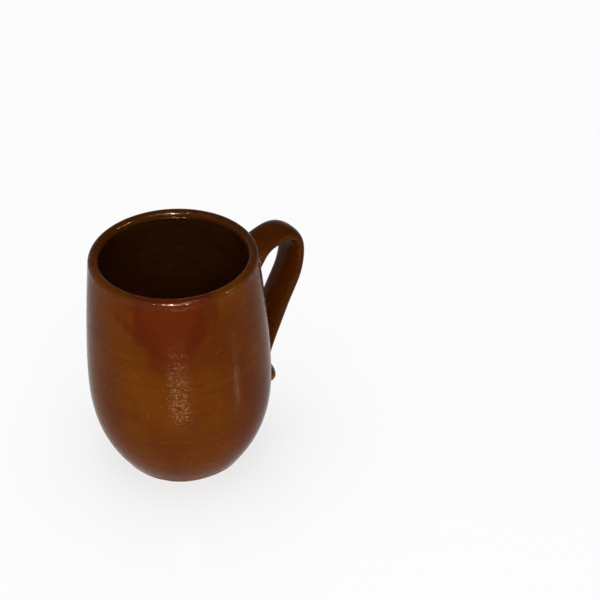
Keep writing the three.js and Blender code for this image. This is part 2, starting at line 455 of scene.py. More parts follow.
def inside_line(wall_steps, bowl_steps):
    """The inside, from the lip down the wall and round to the middle of the floor."""
    height = np.linspace(LIP_START, BELLY_HEIGHT, wall_steps + 1)[1:]
    wall = np.column_stack([outer_radius(height) - WALL, height])
    angle = np.linspace(0, math.pi / 2, bowl_steps + 1)[1:]
    out = np.clip(np.cos(angle), 0, 1) ** (2 / FLOOR_ROUNDNESS)
    down = np.sin(angle) ** (2 / FLOOR_ROUNDNESS)
    bowl_width = BELLY_RADIUS - WALL - FLOOR_RADIUS
    bowl_depth = BELLY_HEIGHT - FLOOR_TOP
    bowl = np.column_stack([FLOOR_RADIUS + bowl_width * out, BELLY_HEIGHT - bowl_depth * down])
    radius = np.linspace(FLOOR_RADIUS, 0, FLOOR_STEPS + 1)[1:]
    floor = np.column_stack([radius, np.full(len(radius), FLOOR_TOP)])
    return np.vstack([wall, bowl, floor])


def recess_line(steps):
    """The recess under the foot, from its middle to its glaze line inside the foot ring."""
    radius = np.linspace(0, RECESS_RADIUS - RECESS_CORNER, RECESS_POINTS)
    ceiling = np.column_stack([radius, np.full(len(radius), RECESS_DEPTH)])
    angle = np.linspace(0, math.pi / 2, steps + 1)[1:]
    corner_radius = RECESS_RADIUS - RECESS_CORNER + RECESS_CORNER * np.sin(angle)
    corner_height = RECESS_DEPTH - RECESS_CORNER * (1 - np.cos(angle))
    corner = np.column_stack([corner_radius, corner_height])
    return np.vstack([ceiling, corner, [[RECESS_RADIUS, RECESS_GLAZE_LINE]]])


def moved_in(line, depth):
    """A profile moved into the clay, which is on its left."""
    along = np.gradient(line, axis=0)
    along /= np.linalg.norm(along, axis=1)[:, None]
    return line + depth * np.column_stack([-along[:, 1], along[:, 0]])


def smooth_share(value, low, high):
    """0 below low, 1 above high, eased between."""
    share = np.clip((value - low) / (high - low), 0, 1)
    return share * share * (3 - 2 * share)


# The turned pieces
def turning_tree():
    """Turns a profile round the cup's axis and leaves a thrower's finger rings and slight waver in it."""
    tree = bpy.data.node_groups.new("turned_form", "GeometryNodeTree")
    add_socket(tree, "Profile", "NodeSocketGeometry")
    add_socket(tree, "Turns", "NodeSocketInt", 240)
    add_socket(tree, "Profile Points", "NodeSocketInt", 100)
    for size, default in TURNING_SIZES.items():
        add_socket(tree, size, "NodeSocketFloat", default)
    add_socket(tree, "Finish", "NodeSocketMaterial")
    add_socket(tree, "Turned", "NodeSocketGeometry", output=True)
    given = tree.nodes.new("NodeGroupInput").outputs
    columns = calc(tree, "ADD", given["Turns"], 1.0)
    counts = {"Vertices X": columns, "Vertices Y": given["Profile Points"]}
    grid = add_node(tree, "GeometryNodeMeshGrid", counts)
    index = add_node(tree, "GeometryNodeInputIndex").outputs[0]
    row = calc(tree, "MODULO", index, given["Profile Points"])
    column = calc(tree, "FLOOR", calc(tree, "DIVIDE", index, given["Profile Points"]))
    angle = calc(tree, "MULTIPLY", calc(tree, "DIVIDE", column, given["Turns"]), 2 * math.pi)
    cosine = calc(tree, "COSINE", angle)
    sine = calc(tree, "SINE", angle)

    def along_profile(value, kind):
        """A value of the profile's point in this row."""
        sampled = {"Geometry": given["Profile"], "Value": value, "Index": row}
        return add_node(tree, "GeometryNodeSampleIndex", sampled, data_type=kind).outputs[0]

    def share(name):
        """A named attribute of the profile."""
        return add_node(tree, "GeometryNodeInputNamedAttribute", {"Name": name}, data_type="FLOAT").outputs[0]

    def swing(wander, rise, offset):
        """Noise round the turn, between -1 and 1, that closes on itself."""
        parts = {
            0: calc(tree, "MULTIPLY_ADD", cosine, wander, given["Seed"]),
            1: calc(tree, "MULTIPLY_ADD", sine, wander, offset),
            2: rise,
        }
        place = add_node(tree, "ShaderNodeCombineXYZ", parts).outputs[0]
        return calc(tree, "MULTIPLY_ADD", noise(tree, place, 1.0), 2.0, -1.0)

    place = along_profile(add_node(tree, "GeometryNodeInputPosition").outputs[0], "FLOAT_VECTOR")
    split = add_node(tree, "ShaderNodeSeparateXYZ", {0: place}).outputs
    ring_share = along_profile(share("ring_share"), "FLOAT")
    edge_share = along_profile(share("edge_share"), "FLOAT")
    rings = swing(RING_WANDER, calc(tree, "DIVIDE", split[2], given["Ring Pitch"]), RING_OFFSET)
    waver = swing(WAVER_WANDER, calc(tree, "MULTIPLY", split[2], WAVER_PER_METRE), WAVER_OFFSET)
    edge = swing(EDGE_WANDER, 0.0, EDGE_OFFSET)
    rings = calc(tree, "MULTIPLY", calc(tree, "MULTIPLY", rings, given["Ring Depth"]), ring_share)
    waver = calc(tree, "MULTIPLY", calc(tree, "MULTIPLY", waver, given["Waver"]), ring_share)
    radius = calc(tree, "ADD", split[0], calc(tree, "ADD", rings, waver))
    drop = calc(tree, "MULTIPLY", calc(tree, "MULTIPLY", edge, given["Edge Wave"]), edge_share)
    turned = {
        0: calc(tree, "MULTIPLY_ADD", radius, cosine, given["Axis"]),
        1: calc(tree, "MULTIPLY", radius, sine),
        2: calc(tree, "ADD", split[2], drop),
    }
    point = add_node(tree, "ShaderNodeCombineXYZ", turned).outputs[0]
    placed = add_node(tree, "GeometryNodeSetPosition", {"Geometry": grid.outputs["Mesh"], "Position": point})
    welded = {"Geometry": placed.outputs[0], "Distance": WELD}
    closed = add_node(tree, "GeometryNodeMergeByDistance", welded)
    smooth = add_node(tree, "GeometryNodeSetShadeSmooth", {"Geometry": closed.outputs[0]})
    real = add_node(tree, "GeometryNodeRealizeInstances", {"Geometry": smooth.outputs[0]})
    finish = {"Geometry": real.outputs[0], "Material": given["Finish"]}
    finished = add_node(tree, "GeometryNodeSetMaterial", finish)
    add_node(tree, "NodeGroupOutput", {0: finished.outputs[0]})
    return tree


def turned_piece(name, tree, profile, finish, sizes, ring_share=None, edge_share=None):
    """A closed piece turned from a profile. The shares say where rings and the edge's wave show."""
    line = bpy.data.meshes.new(name)
    points = np.column_stack([profile[:, 0], np.zeros(len(profile)), profile[:, 1]])
    line.from_pydata(points.tolist(), [], [])
    for share_name, share in (("ring_share", ring_share), ("edge_share", edge_share)):
        shown = np.zeros(len(profile)) if share is None else share
        kept = line.attributes.new(share_name, "FLOAT", "POINT")
        kept.data.foreach_set("value", shown.astype(np.float32))
    piece = bpy.data.objects.new(name, line)
    bpy.context.scene.collection.objects.link(piece)
    turning = piece.modifiers.new("turning", "NODES")
    turning.node_group = tree
    values = {"Profile Points": len(profile), "Axis": CUP_AXIS, "Finish": finish, **sizes}
    for item in tree.interface.items_tree:
        if item.in_out == "INPUT" and item.name in values:
            turning[item.identifier] = values[item.name]
    seen = piece.evaluated_get(bpy.context.evaluated_depsgraph_get())
    mesh = bpy.data.meshes.new_from_object(seen)
    piece.modifiers.remove(turning)
    piece.data = mesh
    bpy.data.meshes.remove(line)
    mesh.name = name
    return piece


# The strap handle
def handle_line():
    """The handle's centreline in its own plane, as even distances, points and tangents."""
    joint_wall = float(outer_radius(JOINT_HEIGHT))
    knots = np.array(
        [
            (joint_wall - ROOT_DEPTH * math.cos(ROOT_RISE), JOINT_HEIGHT - ROOT_DEPTH * math.sin(ROOT_RISE)),
            (joint_wall, JOINT_HEIGHT),
            (joint_wall + CROWN_REACH, CROWN_HEIGHT),
            (joint_wall + SHOULDER_REACH, SHOULDER_HEIGHT),
            (BELLY_RADIUS + ELBOW_REACH, ELBOW_HEIGHT),
            (BELLY_RADIUS + GRIP_REACH, GRIP_HEIGHT),
            (float(outer_radius(PRESS_HEIGHT)) + PRESS_REACH, PRESS_HEIGHT),
            (float(outer_radius(TAIL_HEIGHT)) + TAIL_REACH, TAIL_HEIGHT),
        ]
    )
    ends = np.vstack([2 * knots[0] - knots[1], knots, 2 * knots[-1] - knots[-2]])
    steps = np.sqrt(np.linalg.norm(np.diff(ends, axis=0), axis=1))
    run = []
    share = np.linspace(0, 1, CURVE_STEPS, endpoint=False)[:, None]
    for first in range(len(knots) - 1):
        a, b, c, d = ends[first : first + 4]
        before, here, after = steps[first : first + 3]
        leave = here * ((b - a) / before - (c - a) / (before + here) + (c - b) / here)
        arrive = here * ((c - b) / here - (d - b) / (here + after) + (d - c) / after)
        run.append(
            b + share * leave
            + share**2 * (3 * (c - b) - 2 * leave - arrive)
            + share**3 * (2 * (b - c) + leave + arrive)
        )
    run = np.vstack([*run, knots[-1:]])
    distance = np.concatenate([[0], np.cumsum(np.linalg.norm(np.diff(run, axis=0), axis=1))])
    even = np.linspace(0, distance[-1], LINE_POINTS)
    line = np.column_stack([np.interp(even, distance, run[:, 0]), np.interp(even, distance, run[:, 1])])
    line = eased(line, even, BEND_EASING)
    tangent = np.gradient(line, even, axis=0)
    tangent /= np.linalg.norm(tangent, axis=1)[:, None]
    return even, line, tangent


def handle_run(distance):
    """Points and tangents at distances along the handle's centreline."""
    even, line, tangent = handle_line()
    place = np.column_stack([np.interp(distance, even, line[:, axis]) for axis in (0, 1)])
    along = np.column_stack([np.interp(distance, even, tangent[:, axis]) for axis in (0, 1)])
    return place, along / np.linalg.norm(along, axis=1)[:, None]


def eased(line, distance, reach):
    """A line with its bends evened out over a reach, its ends kept."""
    step = distance[1] - distance[0]
    half = int(3 * reach / step)
    weight = np.exp(-0.5 * (np.arange(-half, half + 1) * step / reach) ** 2)
    weight /= weight.sum()
    before = 2 * line[0] - line[half:0:-1]
    after = 2 * line[-1] - line[-2 : -half - 2 : -1]
    padded = np.vstack([before, line, after])
    return np.column_stack([np.convolve(padded[:, axis], weight, "valid") for axis in (0, 1)])


def strap_size(distance, length):
    """Width, thickness and inward shift of the strap along its run."""
    root = (1 - np.clip((distance - ROOT_DEPTH) / ROOT_FLARE, 0, 1)) ** 2
    taper = smooth_share(distance, ROOT_DEPTH, length - TAIL_FLARE)
    tail = smooth_share(distance, length - TAIL_FLARE, length)
    width = GRIP_WIDTH + (PRESS_WIDTH - GRIP_WIDTH) * taper
    width = width + (ROOT_WIDTH - GRIP_WIDTH) * root + (TAIL_WIDTH - PRESS_WIDTH) * tail
    thickness = GRIP_THICKNESS + (PRESS_THICKNESS - GRIP_THICKNESS) * taper
    root_swell = (ROOT_THICKNESS - GRIP_THICKNESS) * root
    tail_swell = (TAIL_THICKNESS - PRESS_THICKNESS) * tail
    return width, thickness + root_swell + tail_swell, (root_swell - tail_swell) / 2


def strap_points(distance, length, sides, growth, swell=1.0, beyond=0.0):
    """Points on the strap's skin at distances along it, one column for each line that runs along it."""
    place, along = handle_run(np.ravel(distance))
    shape = (*np.shape(distance), 2)
    place = place.reshape(shape) + np.asarray(beyond)[..., None] * along.reshape(shape)
    along = along.reshape(shape)
    width, thickness, shift = strap_size(distance, length)
    inward = np.stack([along[..., 1], -along[..., 0]], -1)
    angle = 2 * math.pi * (np.arange(sides) + 0.5) / sides
    through = np.sign(np.cos(angle)) * np.abs(np.cos(angle)) ** (2 / STRAP_SQUARENESS)
    across = np.sign(np.sin(angle)) * np.abs(np.sin(angle)) ** (2 / STRAP_SQUARENESS)
    depth = shift + swell * (thickness / 2 + growth) * through
    centre = place + depth[..., None] * inward
    return np.stack([CUP_AXIS + centre[..., 0], swell * (width / 2 + growth) * across, centre[..., 1]], -1)


def strap_rings(growth, sides, rings=STRAP_RINGS, root_rings=ROOT_RINGS, tail_rings=TAIL_RINGS):
    """Rings of points from under the wall's skin, through the root, along the strap and round its tail."""
    length = float(handle_line()[0][-1])
    near_root = np.linspace(0, ROOT_DEPTH + ROOT_FLARE, ROOT_SEARCH_STEPS)
    near_root = np.repeat(near_root[:, None], sides, 1)
    outside = wall_distance(strap_points(near_root, length, sides, growth)) > 0
    meets = near_root[np.argmax(outside, axis=0), 0][None, :]
    clear = meets + UPPER_FILLET
    share = np.linspace(0, 1, rings)[:, None] ** RING_CROWDING
    lag = (clear - clear.mean()) * (1 - smooth_share(share, 0, ROOT_SKEW_END))
    distance = clear.mean() + share * (length - clear.mean()) + lag
    body = strap_points(distance, length, sides, growth)
    corner = strap_points(meets, length, sides, growth)
    spread = spread_on_wall(corner, UPPER_FILLET)
    bend = np.linspace(0, 1, root_rings, endpoint=False)[:, None]
    curve = bend[..., None]
    root = (1 - curve) ** 2 * spread + 2 * curve * (1 - curve) * corner + curve**2 * body[:1]
    sunk = spread - ROOT_SINK * out_of_wall(spread)
    bulge = np.repeat(np.linspace(0, math.pi / 2, tail_rings + 2)[1:-1, None], sides, 1)
    at_end = np.full(bulge.shape, length)
    beyond = (TAIL_ROUND + growth) * np.sin(bulge)
    dome = strap_points(at_end, length, sides, growth, np.cos(bulge), beyond)
    run = np.vstack([meets, meets + bend * (clear - meets), distance, length + beyond])
    return np.vstack([sunk, root, body, dome]), run / length


def spread_on_wall(corner, reach):
    """A ring on the wall, moved out along the wall from the ring where the strap meets it."""
    out = out_of_wall(corner)
    away = np.cross(np.roll(corner, -1, axis=1) - np.roll(corner, 1, axis=1), out)
    away *= np.sign(np.sum(away * (corner - corner.mean(axis=1, keepdims=True)), axis=2))[..., None]
    moved = corner + reach * away / np.linalg.norm(away, axis=2)[..., None]
    return moved - (wall_distance(moved) + SPREAD_SINK)[..., None] * out_of_wall(moved)


def ring_normals(points):
    """Outward directions on a grid of rings."""
    round_the_strap = np.roll(points, -1, axis=1) - np.roll(points, 1, axis=1)
    along = np.gradient(points, axis=0)
    normal = np.cross(along, round_the_strap)
    normal /= np.linalg.norm(normal, axis=2)[:, :, None] + TINY
    outward = points - points.mean(axis=1, keepdims=True)
    facing = np.sign(np.median(np.sum(normal * outward, axis=2)))
    return normal * facing


def wall_slope(height):
    """How fast the outside widens with height."""
    return (outer_radius(height + SLOPE_STEP) - outer_radius(height - SLOPE_STEP)) / (2 * SLOPE_STEP)


def wall_distance(points):
    """Distance of points outside the glazed wall, negative inside it."""
    from_axis = np.hypot(points[..., 0] - CUP_AXIS, points[..., 1])
    height = points[..., 2]
    return (from_axis - outer_radius(height)) / np.sqrt(1 + wall_slope(height) ** 2)


def out_of_wall(points):
    """The direction straight out of the wall beside each point."""
    from_axis = np.stack([points[..., 0] - CUP_AXIS, points[..., 1]], -1)
    level = from_axis / np.linalg.norm(from_axis, axis=-1)[..., None]
    slope = wall_slope(points[..., 2])
    out = np.concatenate([level, -slope[..., None]], -1)
    return out / np.linalg.norm(out, axis=-1)[..., None]


def filleted(points, fillet):
    """Rings flared out where they meet the wall, so that the strap runs into it in one smooth curve."""
    normal = ring_normals(points)
    low = np.zeros(points.shape[:2])
    high = fillet.copy()
    for _ in range(FILLET_TRIES):
        middle = (low + high) / 2
        wall = wall_distance(points + normal * middle[..., None])
        near = np.clip(1 - np.abs(middle - wall) / fillet, 0, 1)
        joined = np.minimum(middle, wall) - near**2 * fillet / 4
        low = np.where(joined < 0, middle, low)
        high = np.where(joined < 0, high, middle)
    facing_wall = np.clip(-np.sum(normal * out_of_wall(points), axis=2), 0, 1)
    buried = np.where(wall_distance(points) < 0, 1 - facing_wall, 1)
    flared = np.where(wall_distance(points) > fillet, 0, (low + high) / 2) * buried
    return points + normal * flared[..., None]


def ring_mesh(name, points, run):
    """A closed mesh through rings of points, with the run along the strap as an attribute."""
    rings, sides = points.shape[:2]
    corners = points.reshape(-1, 3)
    first = np.arange(rings - 1)[:, None] * sides
    side = np.arange(sides)[None, :]
    following = (side + 1) % sides
    quads = np.stack([first + side, first + following, first + sides + following, first + sides + side], 2)
    ends = np.vstack([points[0].mean(0), points[-1].mean(0)])
    corners = np.vstack([corners, ends])
    start, finish = len(corners) - 2, len(corners) - 1
    last = (rings - 1) * sides
    faces = quads.reshape(-1, 4).tolist()
    for step in range(sides):
        after = (step + 1) % sides
        faces.append([start, after, step])
        faces.append([finish, last + step, last + after])
    mesh = bpy.data.meshes.new(name)
    mesh.from_pydata(corners.tolist(), [], faces)
    mesh.polygons.foreach_set("use_smooth", [True] * len(mesh.polygons))
    values = np.concatenate([run.ravel(), [run[0].mean(), run[-1].mean()]])
    mesh.attributes.new("run", "FLOAT", "POINT").data.foreach_set("value", values.astype(np.float32))
    mesh.update()
    piece = bpy.data.objects.new(name, mesh)
    bpy.context.scene.collection.objects.link(piece)
    return piece


# Finishes
def glaze_marks_group():
    """What shows in a fired glaze: clouding, rings, grain, golden specks, matt flecks and a dimpled skin."""
    tree = bpy.data.node_groups.new("glaze_marks", "ShaderNodeTree")
    add_socket(tree, "Place", "NodeSocketVector")
    for size, default in GLAZE_MARK_SIZES.items():
        add_socket(tree, size, "NodeSocketFloat", default)
    for mark in ("Thickness", "Rings", "Grain", "Specks", "Matt", "Skin"):
        add_socket(tree, mark, "NodeSocketFloat", output=True)
    given = tree.nodes.new("NodeGroupInput").outputs

    def stretched(stretch):
        """The place, stretched across and upright."""
        across, upright = stretch
        scaled = {0: given["Place"], 1: (across, across, upright)}
        return add_node(tree, "ShaderNodeVectorMath", scaled, operation="MULTIPLY").outputs[0]

    clouds = noise(tree, stretched(CLOUD_STRETCH), given["Cloud Scale"], detail=4.0, roughness=MARK_ROUGHNESS)
    rings = noise(tree, stretched(RING_STRETCH), given["Ring Scale"], detail=3.0, roughness=MARK_ROUGHNESS)
    grain = noise(tree, given["Place"], given["Grain Scale"], roughness=MARK_ROUGHNESS)
    peel = noise(tree, given["Place"], given["Peel Scale"], roughness=MARK_ROUGHNESS)
    flecks = noise(tree, stretched(FLECK_STRETCH), given["Fleck Scale"], detail=1.0)
    thick = calc(tree, "MULTIPLY_ADD", clouds, CLOUD_WEIGHT, calc(tree, "MULTIPLY", rings, RING_WEIGHT))
    cells = {"Vector": given["Place"], "Scale": given["Speck Scale"]}
    spots = add_node(tree, "ShaderNodeTexVoronoi", cells)
    picked = add_node(tree, "ShaderNodeSeparateColor", {0: spots.outputs["Color"]}).outputs[0]
    speck_size = graded(tree, picked, *SPECK_LIMITS, 0.0, SPECK_SIZE)
    inside_speck = calc(tree, "SUBTRACT", speck_size, spots.outputs["Distance"])
    skin = calc(tree, "MULTIPLY", rings, given["Ring Height"])
    skin = calc(tree, "MULTIPLY_ADD", peel, given["Peel Height"], skin)
    dimples = calc(tree, "MULTIPLY", noise(tree, given["Place"], DIMPLE_SCALE, detail=0.0), DIMPLE_DEPTH)
    marks = {
        "Thickness": graded(tree, thick, *THICK_LIMITS),
        "Rings": graded(tree, rings, *MARK_LIMITS),
        "Grain": graded(tree, grain, *MARK_LIMITS),
        "Specks": graded(tree, inside_speck, 0.0, SPECK_EDGE),
        "Matt": graded(tree, flecks, *FLECK_LIMITS, 1.0, 0.0),
        "Skin": calc(tree, "ADD", skin, dimples),
    }
    add_node(tree, "NodeGroupOutput", marks)
    return tree


def clay_grain_group():
    """What shows in bare fired clay: toasted patches, fine sand and the lines of the turning tool."""
    tree = bpy.data.node_groups.new("clay_grain", "ShaderNodeTree")
    add_socket(tree, "Place", "NodeSocketVector")
    add_socket(tree, "Sand Scale", "NodeSocketFloat", 1800.0)
    for mark in ("Toast", "Sand", "Skin"):
        add_socket(tree, mark, "NodeSocketFloat", output=True)
    given = tree.nodes.new("NodeGroupInput").outputs
    patches = noise(tree, given["Place"], TOAST_SCALE, detail=4.0)
    sand = noise(tree, given["Place"], given["Sand Scale"])
    flat = {0: given["Place"], 1: TOOL_STRETCH}
    level = add_node(tree, "ShaderNodeVectorMath", flat, operation="MULTIPLY").outputs[0]
    lines = noise(tree, level, TOOL_SCALE)
    skin = calc(tree, "MULTIPLY", sand, SAND_HEIGHT)
    skin = calc(tree, "MULTIPLY_ADD", lines, TOOL_HEIGHT, skin)
    marks = {"Toast": graded(tree, patches, *TOAST_LIMITS), "Sand": sand, "Skin": skin}
    add_node(tree, "NodeGroupOutput", marks)
    return tree


def new_finish(name, marks, sizes):
    """A material's tree and shader, the place measured from the cup's axis, and the marks that show there."""
    finish = bpy.data.materials.new(name)
    finish.use_nodes = True
    tree = finish.node_tree
    shader = next(n for n in tree.nodes if n.type == "BSDF_PRINCIPLED")
    place = add_node(tree, "ShaderNodeTexCoord").outputs["Object"]
    centred = add_node(tree, "ShaderNodeMapping", {"Vector": place, "Location": (-CUP_AXIS, 0, 0)}).outputs[0]
    grouped = add_node(tree, "ShaderNodeGroup", node_tree=marks)
    tree.links.new(centred, grouped.inputs["Place"])
    for size, value in sizes.items():
        grouped.inputs[size].default_value = value
    return finish, tree, shader, centred, grouped.outputs


def bend_light(tree, shader, height, way):
    """Bends the light on a shader's normal by a height in metres."""
    bump = add_node(tree, "ShaderNodeBump", {"Strength": 1.0, "Distance": 1.0, "Height": height})
    tree.links.new(bump.outputs[0], shader.inputs[way])


def glaze_finish(name, marks, colours, sizes):
    """A glossy glaze, lighter where it is thin and darker where it is thick, with golden specks."""
    finish, tree, shader, place, seen = new_finish(name, marks, sizes)
    height = add_node(tree, "ShaderNodeSeparateXYZ", {0: place}).outputs[2]
    colour = blended(tree, seen["Thickness"], colours["thin"], colours["thick"])
    colour = blended(tree, calc(tree, "MULTIPLY", seen["Rings"], RING_TINT), colour, colours["thick"])
    colour = blended(tree, calc(tree, "MULTIPLY", seen["Grain"], GRAIN_TINT), colour, colours["thick"])
    # Painted shade on the amber: the lip darkens, most at the back
    at_top = graded(tree, height, *RIM_HEIGHTS, 0.0, RIM_TINT)
    at_back = graded(tree, reach_along(tree, place, TO_FRONT), *BACK_TO_FRONT, 1.0, FRONT_RIM_SHARE)
    colour = blended(tree, calc(tree, "MULTIPLY", at_top, at_back), colour, colours["rim"])
    colour = blended(tree, calc(tree, "MULTIPLY", seen["Specks"], SPECK_TINT), colour, colours["speck"])
    rough = graded(tree, seen["Grain"], 0.0, 1.0, *GRAIN_ROUGHNESS)
    rough = calc(tree, "MULTIPLY_ADD", seen["Matt"], MATT_ROUGHNESS, rough)
    tree.links.new(rough, shader.inputs["Roughness"])
    on_lip = graded(tree, height, *LIP_HEIGHTS)
    gloss = graded(tree, seen["Grain"], 0.0, 1.0, *GRAIN_GLOSS)
    gloss = calc(tree, "MULTIPLY_ADD", on_lip, LIP_GLOSS, gloss)
    fleck_share = calc(tree, "MULTIPLY_ADD", seen["Matt"], MATT_SHARE - GLOSSY_SHARE, GLOSSY_SHARE)
    tree.links.new(calc(tree, "MULTIPLY", gloss, fleck_share), shader.inputs["Coat Weight"])
    bend_light(tree, shader, seen["Skin"], "Normal")
    dimples = calc(tree, "MULTIPLY", noise(tree, place, DIMPLE_SCALE, detail=0.0), DIMPLE_DEPTH)
    pit_depth = calc(tree, "MULTIPLY", on_lip, PIT_DEPTH)
    pits = calc(tree, "MULTIPLY", noise(tree, place, PIT_SCALE, detail=0.0), pit_depth)
    bend_light(tree, shader, calc(tree, "ADD", dimples, pits), "Coat Normal")
    shader.inputs["Specular IOR Level"].default_value = GLAZE_SHINE
    shader.inputs["Coat IOR"].default_value = COAT_IOR
    shader.inputs["Coat Roughness"].default_value = COAT_ROUGHNESS
    return finish, tree, shader, place, colour


def painted_reflection_colour(tree, place, height, edge, colour):
    """The glaze's colour with the red patch, a painted reflection, whose foot is ragged in upright streaks
    and whose flanks are darker.
    """
    sideways = calc(tree, "ABSOLUTE", calc(tree, "ADD", reach_along(tree, place, TO_RIGHT), PATCH_SHIFT))
    streaked_place = add_node(tree, "ShaderNodeMapping", {"Vector": place, "Scale": PATCH_STREAK_STRETCH}).outputs[0]
    ragged = calc(tree, "MULTIPLY_ADD", edge, RAGGED_REACH, RAGGED_SHIFT)
    ragged = calc(tree, "MULTIPLY_ADD", noise(tree, streaked_place, PATCH_STREAK_SCALE, detail=4.0), PATCH_STREAK_REACH, ragged)
    half_width = graded(tree, height, *PATCH_HEIGHTS, *PATCH_HALF_WIDTHS)
    outside = calc(tree, "ADD", calc(tree, "SUBTRACT", sideways, half_width), ragged)
    across = graded(tree, outside, *PATCH_SIDES, 1.0, 0.0)
    upright = graded(tree, calc(tree, "SUBTRACT", height, ragged), *PATCH_FOOT)
    faced = graded(tree, reach_along(tree, place, TO_FRONT), *PATCH_FRONT)
    reflection_share = calc(tree, "MULTIPLY", calc(tree, "MULTIPLY", across, upright), faced)
    # Painted reflection: red under the rim on the front, where the glaze would mirror something dark
    colour = blended(tree, calc(tree, "MULTIPLY", reflection_share, PATCH_TINT), colour, PAINTED_REFLECTION_RED)
    flank = graded(tree, outside, *FLANK_SIDES, 0.0, FLANK_TINT)
    flank = calc(tree, "MULTIPLY", flank, graded(tree, height, *FLANK_HEIGHTS))
    return blended(tree, calc(tree, "MULTIPLY", reflection_share, flank), colour, PAINTED_REFLECTION_FLANK)


def outside_finish(marks):
    """The amber glaze: a painted reflection in red under the front rim, a darker brown on the strap that is
    partly painted shade, golden on the tail and brown above the foot.
    """
    finish, tree, shader, place, colour = glaze_finish("amber_glaze", marks, AMBER, AMBER_MARKS)
    height = add_node(tree, "ShaderNodeSeparateXYZ", {0: place}).outputs[2]
    edge = noise(tree, place, RAGGED_SCALE, detail=3.0)
    # Painted reflection: the red patch under the front rim
    colour = painted_reflection_colour(tree, place, height, edge, colour)
    run = add_node(tree, "ShaderNodeAttribute", attribute_name="run").outputs["Fac"]
    ragged_run = calc(tree, "MULTIPLY_ADD", edge, STRAP_RAGGED, run)
    # Darker brown on the strap past its root, partly painted shade
    colour = blended(tree, graded(tree, ragged_run, *STRAP_RUN, 0.0, STRAP_TINT), colour, STRAP_BROWN_AND_SHADE)
    ragged_tail = calc(tree, "MULTIPLY_ADD", edge, TAIL_RAGGED, run)
    colour = blended(tree, graded(tree, ragged_tail, *TAIL_RUN), colour, TAIL_GOLD)
    low = graded(tree, calc(tree, "MULTIPLY_ADD", edge, FOOT_RAGGED, height), *FOOT_HEIGHTS, 1.0, 0.0)
    on_cup = calc(tree, "SUBTRACT", 1.0, calc(tree, "GREATER_THAN", run, STRAP_BEGINS))
    low = calc(tree, "MULTIPLY", on_cup, calc(tree, "MULTIPLY", low, FOOT_TINT))
    colour = blended(tree, low, colour, FOOT_BROWN)
    tree.links.new(colour, shader.inputs["Base Color"])
    return finish


def dark_finish(name, marks, colours):
    """The glaze in a darker brown, with its finger rings; inside the cup the darker brown is partly painted
    shade.
    """
    finish, tree, shader, _, colour = glaze_finish(name, marks, colours, DARK_MARKS)
    tree.links.new(colour, shader.inputs["Base Color"])
    return finish


def clay_finish(name, grain, pale, toasted, sand_scale):
    """Bare fired clay."""
    finish, tree, shader, _, seen = new_finish(name, grain, {"Sand Scale": sand_scale})
    colour = blended(tree, seen["Toast"], pale, toasted)
    dark = graded(tree, seen["Sand"], *DARK_SAND_LIMITS, 0.0, DARK_SAND_TINT)
    colour = blended(tree, dark, colour, DARK_SAND)
    tree.links.new(colour, shader.inputs["Base Color"])
    tree.links.new(graded(tree, seen["Sand"], *SAND_LIMITS, *CLAY_ROUGHNESS), shader.inputs["Roughness"])
    bend_light(tree, shader, seen["Skin"], "Normal")
    shader.inputs["Specular IOR Level"].default_value = CLAY_SHINE
    return finish


# Stage
def studio_place(right, towards, up):
    """A point about the cup's axis, as the camera sees the mug."""
    return Vector((CUP_AXIS, 0, 0)) + TO_RIGHT * right + TO_FRONT * towards + UPWARD * up


def make_camera():
    """The camera, tilted down at the mug and rolled very slightly."""
    lens = bpy.data.cameras.new("camera")
    lens.sensor_width = CAMERA_SENSOR
    lens.lens = CAMERA_LENS
    lens.clip_start = CAMERA_NEAR
    camera = bpy.data.objects.new("camera", lens)
    bpy.context.scene.collection.objects.link(camera)
    forward = -TO_FRONT * math.cos(CAMERA_TILT) - UPWARD * math.sin(CAMERA_TILT)
    above = TO_RIGHT.cross(forward)
    right = TO_RIGHT * math.cos(CAMERA_ROLL) - above * math.sin(CAMERA_ROLL)
    above = right.cross(forward)
    turn = Matrix((right, above, -forward)).transposed()
    camera.matrix_world = Matrix.Translation(studio_place(*CAMERA_PLACE)) @ turn.to_4x4()
    bpy.context.scene.camera = camera


def make_softbox(name, bearing, rise, distance, width, height, watts, gleam=False):
    """A softbox aimed at the mug, at a bearing right of its front and a rise above the table, in degrees.
    One that only gleams shows in the glaze and gives no other light."""
    lamp = bpy.data.lights.new(name, "AREA")
    lamp.shape = "ELLIPSE" if gleam else "RECTANGLE"
    lamp.size = width
    lamp.size_y = height
    lamp.energy = watts
    lamp.color = WARM_WINDOW if gleam else PLAIN_LAMP
    softbox = bpy.data.objects.new(name, lamp)
    bpy.context.scene.collection.objects.link(softbox)
    aim = studio_place(0, 0, MUG_HEIGHT / 2)
    bearing, rise = math.radians(bearing), math.radians(rise)
    level = distance * math.cos(rise)
    aside = TO_RIGHT * level * math.sin(bearing) + TO_FRONT * level * math.cos(bearing)
    softbox.location = aim + (aside + UPWARD * distance * math.sin(rise))
    softbox.rotation_mode = "QUATERNION"
    softbox.rotation_quaternion = (aim - softbox.location).to_track_quat("-Z", "Y")
    softbox.visible_camera = False
    softbox.visible_diffuse = not gleam


def seen_directly(tree):
    """1 for what the camera sees, directly, in a reflection or through something clear."""
    path = add_node(tree, "ShaderNodeLightPath").outputs
    first = calc(tree, "MAXIMUM", path["Is Camera Ray"], path["Is Glossy Ray"])
    return calc(tree, "MAXIMUM", first, path["Is Transmission Ray"])


